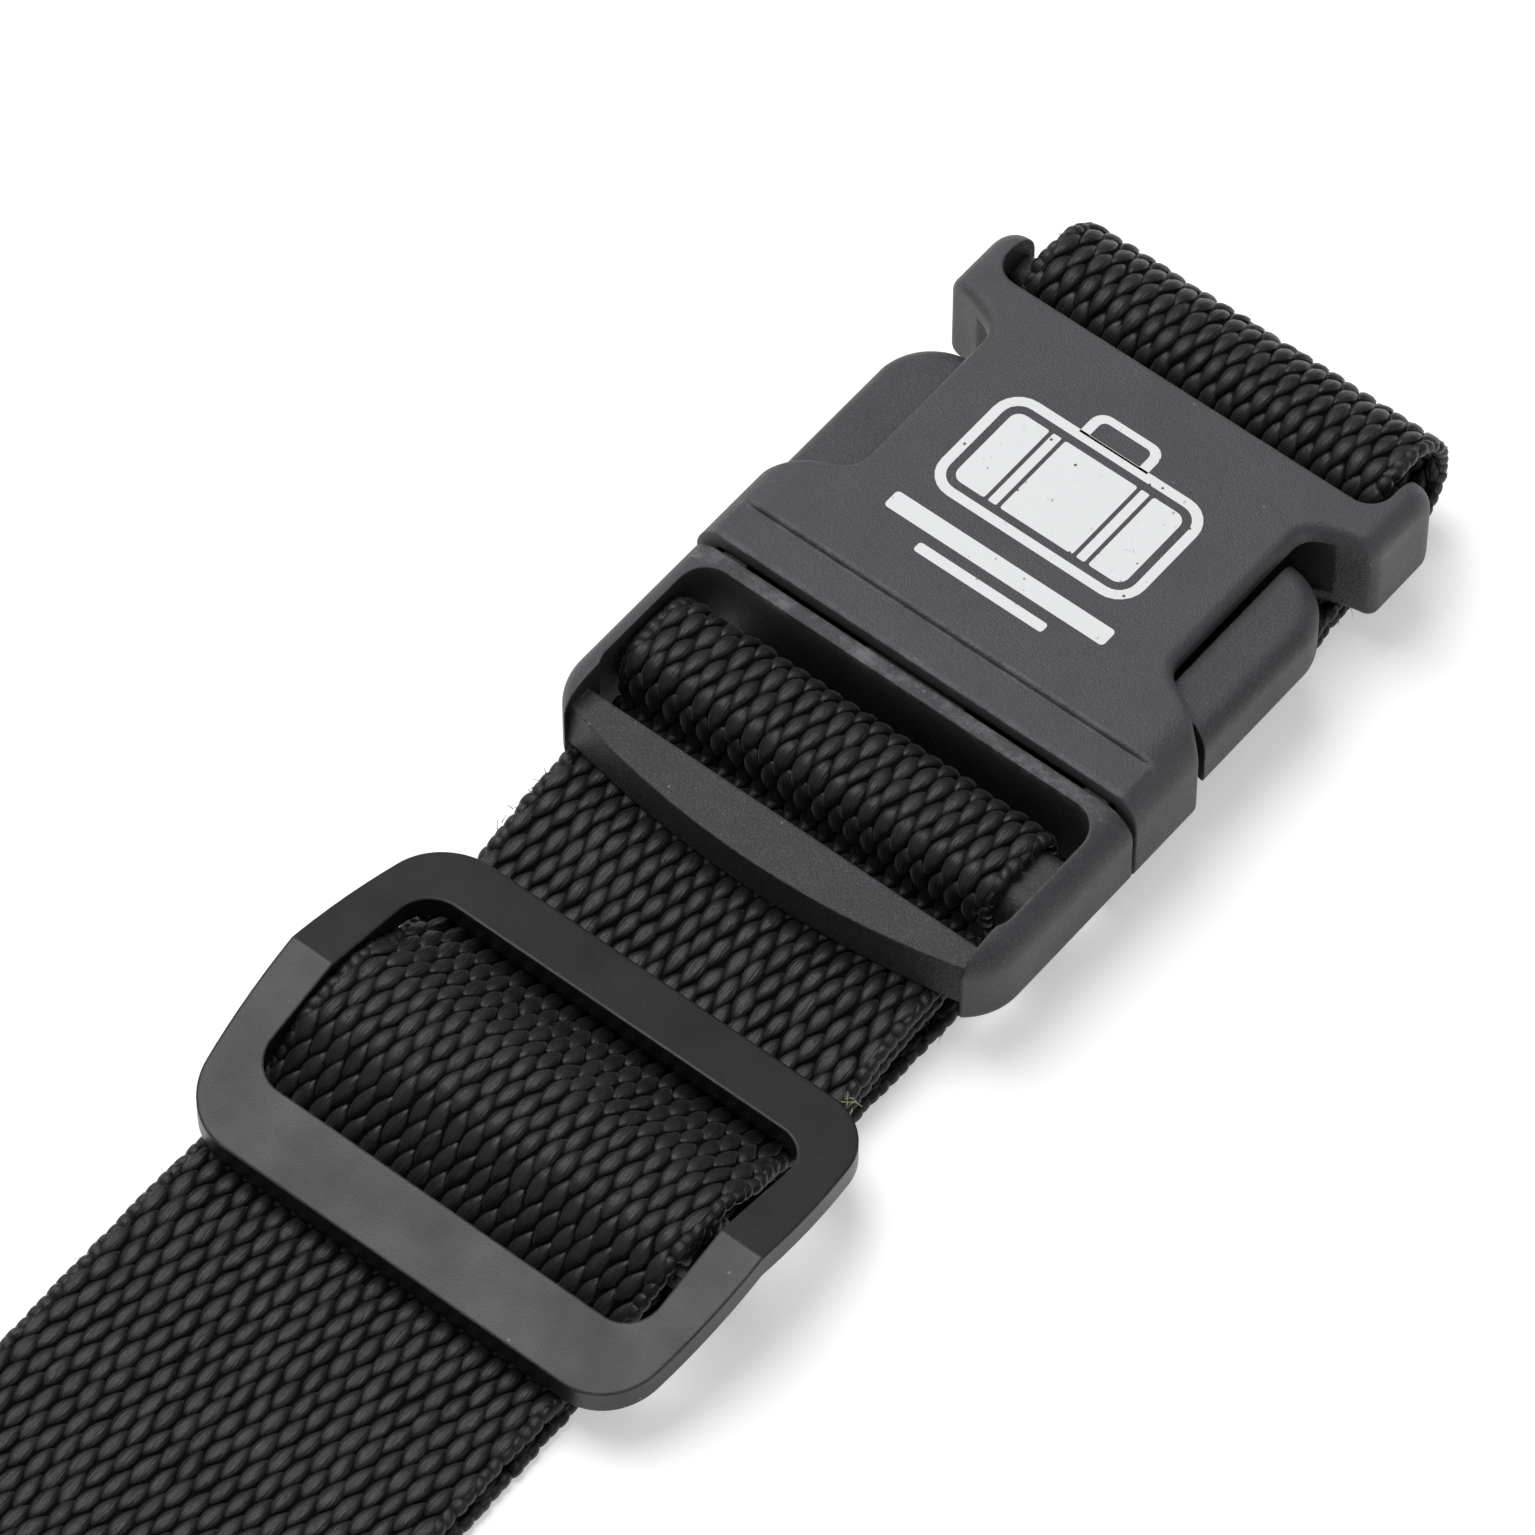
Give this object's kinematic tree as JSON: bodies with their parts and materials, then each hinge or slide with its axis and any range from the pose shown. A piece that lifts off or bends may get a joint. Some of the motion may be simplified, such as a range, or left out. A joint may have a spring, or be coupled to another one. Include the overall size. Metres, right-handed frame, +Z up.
{
  "type": "luggage strap",
  "caption": "Flat webbing luggage strap with a closed side-release buckle, a tri-glide adjuster and the spare loop rolled up.",
  "frame": {"origin": "on the table, under the middle of the buckle's mouth, where the plug half meets the socket half", "axes": "+Z up from the table, +Y along the strap from the adjuster to the buckle's socket half, +X across the strap"},
  "size_m": [0.0618, 0.2764, 0.0568],
  "materials": {
    "buckle_plastic": "fine matte black moulding",
    "adjuster_plastic": "smooth satin black moulding",
    "webbing": "woven black polypropylene",
    "thread": "black bonded thread",
    "print": "white pad print"
  },
  "bodies": {
    "male_half": {"male_frame": "buckle_plastic", "male_bar": "buckle_plastic", "guide_tongue": "buckle_plastic", "male_loop_webbing": "webbing", "main_run": "webbing", "under_run_near": "webbing", "webbing_roll": "webbing"},
    "female_half": {"female_shell": "buckle_plastic", "female_bar": "buckle_plastic", "female_loop_webbing": "webbing", "under_run_far": "webbing", "female_stitching": "thread"},
    "right_prong": {"right_prong": "buckle_plastic"},
    "left_prong": {"left_prong": "buckle_plastic"},
    "adjuster": {"slider_frame": "adjuster_plastic", "slider_bar": "adjuster_plastic", "hump_webbing": "webbing", "slider_sewn_webbing": "webbing", "slider_stitching": "thread"}
  },
  "joints": [
    {"name": "buckle_release", "type": "slide", "parent": "male_half", "child": "female_half", "axis": [0, 1, 0], "range_m": [0, 0.036], "deforming": ["right_prong", "left_prong"]},
    {"name": "right_release", "type": "hinge", "parent": "male_half", "child": "right_prong", "pos_m": [0.0239, 0.0002, 0.011], "axis": [0, 0, 1], "range_deg": [0, 8], "stiffness_Nm_per_rad": 1.5},
    {"name": "left_release", "type": "hinge", "parent": "male_half", "child": "left_prong", "pos_m": [-0.0239, 0.0002, 0.011], "axis": [0, 0, -1], "range_deg": [0, 8], "stiffness_Nm_per_rad": 1.5},
    {"name": "adjuster_slide", "type": "slide", "parent": "male_half", "child": "adjuster", "axis": [0, 1, 0], "range_m": [-0.01, 0.008], "deforming": ["male_loop_webbing", "main_run"]}
  ]
}
